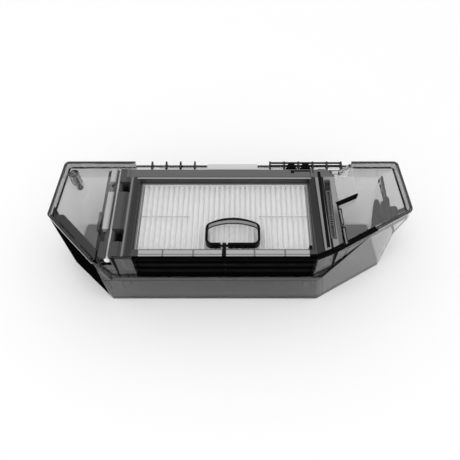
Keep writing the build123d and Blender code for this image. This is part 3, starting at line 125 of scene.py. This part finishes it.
class Nodes:
    """A short way to write the node tree of a material or a world."""

    def __init__(self, owner, out="OutputMaterial"):
        self.owner = owner
        owner.use_nodes = True
        self.tree = owner.node_tree
        self.tree.nodes.clear()
        self.out = self.new(out)

    def new(self, kind, values=None, **settings):
        """A node; each value is a number or colour, or an output to link."""
        node = self.tree.nodes.new("ShaderNode" + kind)
        for key, value in settings.items():
            setattr(node, key, value)
        for key, value in (values or {}).items():
            if is_socket(value):
                self.tree.links.new(value, node.inputs[key])
            else:
                node.inputs[key].default_value = value
        return node

    def surface(self, shader):
        self.tree.links.new(shader, self.out.inputs["Surface"])

    def smoke(self, density):
        """Darkens the inside: the longer the way through it, the darker."""
        body = self.new("VolumeAbsorption", {"Color": grey(0.0), "Density": density})
        self.tree.links.new(body.outputs["Volume"], self.out.inputs["Volume"])

    # Coordinates and noise.

    def place(self):
        """Object coordinates, split: metres, in the frame of the part."""
        return self.new("SeparateXYZ", {0: self.new("TexCoord").outputs["Object"]}).outputs

    def facing(self):
        """The direction that the surface faces, split."""
        return self.new("SeparateXYZ", {0: self.new("TexCoord").outputs["Normal"]}).outputs

    def noise(self, scale, detail=3.0):
        place = self.new("TexCoord").outputs["Object"]
        values = {"Vector": place, "Scale": scale, "Detail": detail, "Roughness": 0.5}
        return self.new("TexNoise", values).outputs["Fac"]

    def remap(self, value, start, end, low, high):
        """A value between start and end turned into one between low and high."""
        values = {"Value": value, "From Min": start, "From Max": end, "To Min": low, "To Max": high}
        return self.new("MapRange", values).outputs["Result"]

    def bump(self, scale, strength):
        values = {"Height": self.noise(scale, 2.0), "Strength": strength, "Distance": RELIEF_DEPTH}
        return self.new("Bump", values).outputs["Normal"]

    # Sums.

    def maths(self, operation, first, second=0.0):
        return self.new("Math", {0: first, 1: second}, operation=operation).outputs[0]

    def toward(self, x, y, direction):
        """How far a point lies in a direction in plan."""
        across = self.maths("MULTIPLY", x, direction[0])
        return self.maths("ADD", across, self.maths("MULTIPLY", y, direction[1]))

    def far_squared(self, x, y, centre=(0.0, 0.0)):
        """The square of the distance in plan from a point."""
        parts = [
            self.maths("POWER", self.maths("SUBTRACT", value, middle), 2.0)
            for value, middle in zip((x, y), centre)
        ]
        return self.maths("ADD", *parts)

    # Masks: 0 outside, 1 inside and a soft change between.

    def step(self, value, edge, soft=SOFT):
        """0 below the edge and 1 above it."""
        return self.remap(value, edge - soft, edge + soft, 0.0, 1.0)

    def below(self, value, edge, soft=SOFT):
        """1 below the edge and 0 above it."""
        return self.maths("SUBTRACT", 1.0, self.step(value, edge, soft))

    def band(self, value, low, high, soft=SOFT):
        """1 between two edges."""
        return self.maths("SUBTRACT", self.step(value, low, soft), self.step(value, high, soft))

    def both(self, *masks):
        return reduce(lambda first, second: self.maths("MULTIPLY", first, second), masks)

    def either(self, *masks):
        return reduce(lambda first, second: self.maths("MAXIMUM", first, second), masks)

    def seen(self):
        """1 for the rays that show the background: camera, glossy and transmission."""
        ray = self.new("LightPath").outputs
        return self.either(ray["Is Camera Ray"], ray["Is Glossy Ray"], ray["Is Transmission Ray"])

    # Colours and shaders.

    def mix(self, mask, first, second):
        """The first value where the mask is 0, the second where it is 1."""
        return self.new("Mix", {0: mask, 2: first, 3: second}, data_type="FLOAT").outputs[0]

    def stripes(self, value, along, rows):
        """The value with a grey of its own in each row's band."""
        for low, high, tone in rows:
            mask = self.step(along, low) if high is None else self.band(along, low, high)
            value = self.mix(mask, value, tone)
        return value

    def shade(self, value):
        """A grey colour from a number or an output."""
        if not is_socket(value):
            return grey(value)
        return self.new("CombineColor", {0: value, 1: value, 2: value}).outputs[0]

    def blend(self, mask, first, second):
        return self.new("MixShader", {0: mask, 1: first, 2: second}).outputs["Shader"]

    def matt(self, value):
        return self.new("BsdfDiffuse", {"Color": grey(value)}).outputs["BSDF"]

    def clear(self, value):
        return self.new("BsdfTransparent", {"Color": self.shade(value)}).outputs["BSDF"]

    def glassy(self, tint):
        """Clear plastic that refracts, and lets lamps through in a straight line."""
        values = {
            "Base Color": self.shade(tint),
            "Roughness": self.remap(self.noise(CLEAR_MOTTLE), *NOISE_RANGE, GLOSS * 0.6, GLOSS * 1.6),
            "IOR": IOR,
            "Transmission Weight": 1.0,
        }
        body = self.new("BsdfPrincipled", values).outputs["BSDF"]
        shadow = self.new("LightPath").outputs["Is Shadow Ray"]
        return self.blend(shadow, body, self.clear(tint))

    def solid(self, value, roughness, specular):
        """Opaque plastic, rubber or metal with a faint mottle in its gloss."""
        mottle = self.noise(SOLID_MOTTLE)
        values = {
            "Base Color": self.shade(value),
            "Roughness": self.remap(mottle, *NOISE_RANGE, roughness * 0.8, roughness * 1.2),
            "Specular IOR Level": specular,
            "Normal": self.bump(*GRAIN),
        }
        return self.new("BsdfPrincipled", values).outputs["BSDF"]


def material(name):
    return Nodes(bpy.data.materials.new(name))


def moulded(name, value, roughness=0.35, specular=0.5):
    """A plain opaque material: its name, grey, roughness and specular level."""
    nodes = material(name)
    nodes.surface(nodes.solid(value, roughness, specular))
    return nodes.owner


def clear_material():
    nodes = material("clear")
    nodes.surface(nodes.glassy(0.98))
    nodes.smoke(CLEAR_SMOKE)
    return nodes.owner


def tub_material():
    """The smoked tub, with painted shade and a painted reflection: left chamfer near black, upright
    back wall a little darker.
    """
    nodes = material("smoked_tub")
    x, y, z = nodes.place()
    left = nodes.toward(x, y, LEFT_CHAMFER)
    right = nodes.toward(x, y, RIGHT_CHAMFER)
    level = nodes.facing()[2]

    # Painted shade: the upright back wall and the front wall get a darker tint than the rest of the
    # tub.
    back = nodes.both(nodes.step(y, 0.034), nodes.step(z, 0.031))
    tint = nodes.mix(back, 0.96, 0.82)
    tint = nodes.mix(nodes.below(y, -0.0334), tint, 0.62)

    # Painted reflection: the left chamfer is near-black matt where the clear wall shows a dark
    # reflection.
    chamfer = nodes.both(nodes.step(left, 0.0735), nodes.below(z, 0.0432), nodes.below(x, -0.0758))
    wall = nodes.blend(chamfer, nodes.glassy(tint), nodes.matt(0.002))

    # Painted shade: the top of the rim is dark for the dark edge line of the clear rim.
    rim = nodes.step(z, 0.0457)
    wall = nodes.blend(rim, wall, nodes.solid(0.05, roughness=0.3, specular=0.1))

    # Painted shade: the upward-facing ledges of the outer walls are dark grey.
    outer = nodes.either(nodes.below(y, -0.0336), nodes.step(right, 0.0557), nodes.step(left, 0.0760))
    painted_shade_ledge = nodes.both(nodes.step(level, 0.25, 0.1), outer, nodes.band(z, 0.0236, 0.0452))
    wall = nodes.blend(painted_shade_ledge, wall, nodes.solid(0.16, roughness=0.3, specular=0.2))

    # Painted shade: a near-black line on the front face just under the step.
    painted_shade_line = nodes.both(
        nodes.band(z, 0.0234, 0.0245), nodes.below(y, -0.0352), nodes.below(level, 0.25, 0.1)
    )
    wall = nodes.blend(painted_shade_line, wall, nodes.solid(0.02, roughness=0.3, specular=0.1))

    boss = nodes.below(nodes.far_squared(x, y, BOSS_PLACE), BOSS_RADIUS ** 2, 1e-6)
    nodes.surface(nodes.blend(nodes.both(boss, nodes.step(z, 0.003)), wall, nodes.clear(0.93)))
    nodes.smoke(TUB_SMOKE)
    return nodes.owner


def cover_material():
    """Smoked windows; painted shade darkens the rim and front wall; dark knuckles, near-black where
    shade is painted in the hinge slot.
    """
    nodes = material("smoked_cover")
    x, y, z = nodes.place()
    right = nodes.toward(x, y, RIGHT_CHAMFER)

    slanting = nodes.both(nodes.step(right, 0.0531), nodes.step(x, 0.049))
    front = nodes.both(nodes.either(nodes.below(y, -0.0316), slanting), nodes.below(z, 0.0452))
    # Painted shade: the rim above the windows and the front walls get a darker tint.
    tint = nodes.mix(nodes.step(z, 0.0424), 0.80, 0.58)
    tint = nodes.mix(front, tint, nodes.mix(nodes.step(x, 0.0585), 0.42, 0.55))

    knuckle = nodes.both(nodes.band(x, -0.0755, -0.0655), nodes.step(z, 0.0322))
    gaps = nodes.either(nodes.band(y, -0.0224, -0.0040), nodes.band(y, 0.0124, 0.0300))
    notch = nodes.both(nodes.band(x, -0.0755, -0.0600), nodes.step(z, 0.0295), gaps)
    knuckle = nodes.both(nodes.either(knuckle, notch), nodes.band(y, -0.0306, 0.0300))

    across = nodes.toward(x, y, (1.0, 0.06))
    bay_wall = nodes.both(nodes.band(across, 0.0630, 0.0654), nodes.step(z, 0.0422))

    # Painted shade: the knuckles are dark grey and near-black right of the pin, for the shade in the
    # hinge slot.
    value = nodes.mix(nodes.step(x, -0.0660), 0.05, 0.003)
    value = nodes.mix(bay_wall, value, nodes.mix(nodes.band(across, 0.0638, 0.0646), 0.01, 0.2))
    opaque = nodes.solid(value, roughness=0.25, specular=0.3)
    nodes.surface(nodes.blend(nodes.either(knuckle, bay_wall), nodes.glassy(tint), opaque))
    nodes.smoke(COVER_SMOKE)
    return nodes.owner


def door_material():
    """Dark bars with lighter stripes, a painted highlight stripe and line, grey knuckles with painted
    shade, and a clear tab with painted shade on its upright faces.
    """
    nodes = material("smoked_door")
    x, y, z = nodes.place()
    right = nodes.toward(x, y, (1.0, 0.032))

    value = nodes.stripes(0.055, x, LEFT_STRIPES)
    value = nodes.stripes(value, right, RIGHT_STRIPES)
    outer_strip = nodes.mix(nodes.step(y, 0.0, 0.004), 0.12, 0.28)
    value = nodes.mix(nodes.step(right, 0.0605), value, outer_strip)

    value = nodes.mix(nodes.step(y, 0.0242), value, 0.12)
    # Painted highlight: a light line along the edge of the back bar's rim.
    line = nodes.both(nodes.band(y, 0.0229, 0.0236, 0.0001), nodes.band(x, -0.0575, 0.0490))
    value = nodes.mix(line, value, 0.4)

    knuckle = nodes.mix(nodes.step(x, -0.0713, 0.0005), 0.42, 0.3)
    # Painted shade: dark bands beside the pin in its slot, and near-black on the lower side of the
    # knuckles.
    knuckle = nodes.stripes(knuckle, x, ((-0.0704, -0.0680, 0.05), (-0.0680, None, 0.07)))
    knuckle = nodes.mix(nodes.below(y, -0.0215), knuckle, 0.06)
    low = nodes.both(nodes.below(z, 0.0424, 0.0006), nodes.below(x, -0.0715))
    knuckle = nodes.mix(low, knuckle, 0.01)
    value = nodes.mix(nodes.step(x, KNUCKLES_END), knuckle, value)

    # Painted shade: the tab's upright faces get a darker tint than its flat faces.
    level = nodes.maths("ABSOLUTE", nodes.facing()[2])
    tint = nodes.mix(nodes.step(level, 0.5, 0.1), 0.3, 0.93)
    tab = nodes.step(x, 0.0634)
    bars = nodes.solid(value, roughness=0.22, specular=0.16)
    nodes.surface(nodes.blend(tab, bars, nodes.glassy(tint)))
    return nodes.owner


def strip_material():
    """Frosted strip with a darker tick at each of its ribs."""
    nodes = material("frosted_strip")
    x, y, _ = nodes.place()
    turn = nodes.maths("DIVIDE", nodes.maths("ADD", x, TICK_START), TICK_PITCH)
    turn = nodes.maths("SUBTRACT", nodes.maths("FRACT", turn), 0.5)
    tick = nodes.below(nodes.maths("ABSOLUTE", turn), 0.03, 0.004)
    value = nodes.mix(tick, 0.37, 0.14)
    value = nodes.stripes(value, y, ((-0.0275, None, 0.04), (-0.0306, -0.0300, 0.12)))
    nodes.surface(nodes.solid(value, roughness=0.25, specular=0.5))
    return nodes.owner


def louvre_material():
    """Black, with two faint lines of light along the slats."""
    nodes = material("black_louvre")
    z = nodes.place()[2]
    lines = nodes.either(nodes.band(z, 0.0387, 0.0397), nodes.band(z, 0.0322, 0.0332))
    nodes.surface(nodes.solid(nodes.mix(lines, 0.0008, 0.03), roughness=0.5, specular=0.01))
    return nodes.owner


def edge_material():
    """The filter's frame: dark on top, pale where the pleats are glued in."""
    nodes = material("filter_edge")
    top = nodes.step(nodes.place()[2], 0.0412)
    nodes.surface(nodes.solid(nodes.mix(top, 0.75, 0.015), roughness=0.4, specular=0.2))
    return nodes.owner


def comb_material():
    """Dark ribs on a clear base."""
    nodes = material("comb_ribs")
    ribs = nodes.step(nodes.place()[2], 0.04275, 0.00005)
    dark = nodes.solid(0.015, roughness=0.3, specular=0.2)
    nodes.surface(nodes.blend(ribs, nodes.clear(0.97), dark))
    return nodes.owner


def ring_material():
    """Black, with a painted reflection on the inner face of its bow."""
    nodes = material("ring_plastic")
    _, y, z = nodes.place()
    forward = nodes.below(nodes.facing()[1], -0.5, 0.1)
    # Painted reflection: forward-facing faces in the bow's upper band are pale grey.
    pale = nodes.both(forward, nodes.step(z, 0.0427), nodes.step(y, -0.0130), nodes.below(z, 0.0456))
    nodes.surface(nodes.solid(nodes.mix(pale, 0.003, 0.45), roughness=0.2, specular=0.06))
    return nodes.owner


def paper_material():
    """Filter paper that lets a little light through."""
    nodes = material("filter_paper")
    # Painted light: the paper is a shade lighter low in the pleats, against the shade in their
    # valleys.
    value = nodes.mix(nodes.step(nodes.place()[2], 0.0392, 0.0025), 0.98, 0.97)
    values = {"Color": nodes.shade(value), "Normal": nodes.bump(*FIBRE)}
    face, through = (
        nodes.new(kind, values).outputs["BSDF"] for kind in ("BsdfDiffuse", "BsdfTranslucent")
    )
    nodes.surface(nodes.blend(0.1, face, through))
    return nodes.owner


def slot_looks():
    """The material of each slot of the record."""
    return {
        "tub_plastic": tub_material(),
        "cover_plastic": cover_material(),
        "clear_plastic": clear_material(),
        "comb_plastic": moulded("comb_dark", 0.015, 0.3, 0.2),
        "pad_plastic": moulded("pale_pad", 0.58),
        "strip_plastic": moulded("dark_strip", 0.03, 0.25, 0.3),
        "door_plastic": door_material(),
        "bracket_plastic": moulded("bracket", 0.09, 0.3, 0.3),
        "filter_plastic": edge_material(),
        "black_plastic": moulded("black_plastic", 0.003, 0.4, 0.06),
        "ring_plastic": ring_material(),
        "slider_plastic": moulded("slider_grey", 0.09, 0.3, 0.3),
        "black_mesh": moulded("mesh_black", 0.002, 0.6, 0.04),
        "steel_mesh": moulded("mesh_steel", 0.35, 0.4),
        "steel": moulded("steel", 0.85, 0.2),
        "rubber": moulded("rubber", 0.002, 0.6, 0.03),
        "foam": moulded("foam", 0.02, 0.9, 0.1),
        "filter_paper": paper_material(),
        # Painted shade: the thread is mid grey for the shadow line along it.
        "thread": moulded("thread", 0.45, 0.8, 0.2),
    }


def node_looks():
    """The materials of the nodes that have one of their own."""
    return {
        "front_strip": strip_material(),
        "rear_comb_left": comb_material(),
        "outlet_louvre": louvre_material(),
        "cover_screws": moulded("screw_grey", 0.3, 0.4, 0.2),
        "latch_spring": moulded("spring_dark", 0.04, 0.35, 0.3),
    }


def dress(look, own):
    """Give each slot of the record its material, and some nodes one of their own."""
    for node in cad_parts:
        for place in bpy.data.objects[node].material_slots:
            key = place.material.name.split(".")[0]
            if node in own:
                place.material = own[node]
            elif key in look:
                place.material = look[key]


def coil():
    """The latch's spring, which the slider presses together."""
    spring = bpy.data.objects["latch_spring"]
    piece = bpy.data.objects.new("latch_coil", spring.data.copy())
    bpy.context.scene.collection.objects.link(piece)
    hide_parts("latch_spring")
    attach(piece, "door")
    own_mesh(piece)


def floor():
    """A plain floor that keeps the shadow near the part."""
    mesh = bpy.data.meshes.new("floor")
    corners = [(x * FLOOR_HALF, y * FLOOR_HALF, 0) for x, y in ((-1, -1), (1, -1), (1, 1), (-1, 1))]
    mesh.from_pydata(corners, [], [(0, 1, 2, 3)])
    plane = bpy.data.objects.new("floor", mesh)
    bpy.context.scene.collection.objects.link(plane)
    nodes = material("floor")
    white = nodes.new("Emission", {"Color": grey(1.0), "Strength": 1.0}).outputs["Emission"]
    x, y, _ = nodes.place()
    away = nodes.maths("SQRT", nodes.far_squared(x, y))
    far = nodes.both(nodes.seen(), nodes.step(away, *FLOOR_EDGE))
    nodes.surface(nodes.blend(far, nodes.matt(FLOOR_GREY), white))
    mesh.materials.append(nodes.owner)


def light():
    """A white world that lights a little less than it shows, and a soft key lamp."""
    world = bpy.data.worlds.new("studio")
    bpy.context.scene.world = world
    nodes = Nodes(world, "OutputWorld")
    lit, shown = (
        nodes.new("Background", {"Color": grey(1.0), "Strength": strength}).outputs["Background"]
        for strength in (WORLD_LIGHT, 1.0)
    )
    nodes.surface(nodes.blend(nodes.seen(), lit, shown))

    data = bpy.data.lights.new("key", "AREA")
    data.shape = "DISK"
    data.size = KEY_SIZE
    data.energy = KEY_LIGHT
    key = bpy.data.objects.new("key", data)
    key.location = KEY_PLACE
    key.rotation_euler = (math.radians(KEY_TILT[0]), math.radians(KEY_TILT[1]), 0)
    bpy.context.scene.collection.objects.link(key)


camera()
dress(slot_looks(), node_looks())
coil()
floor()
light()
bpy.context.scene.view_settings.view_transform = "Standard"
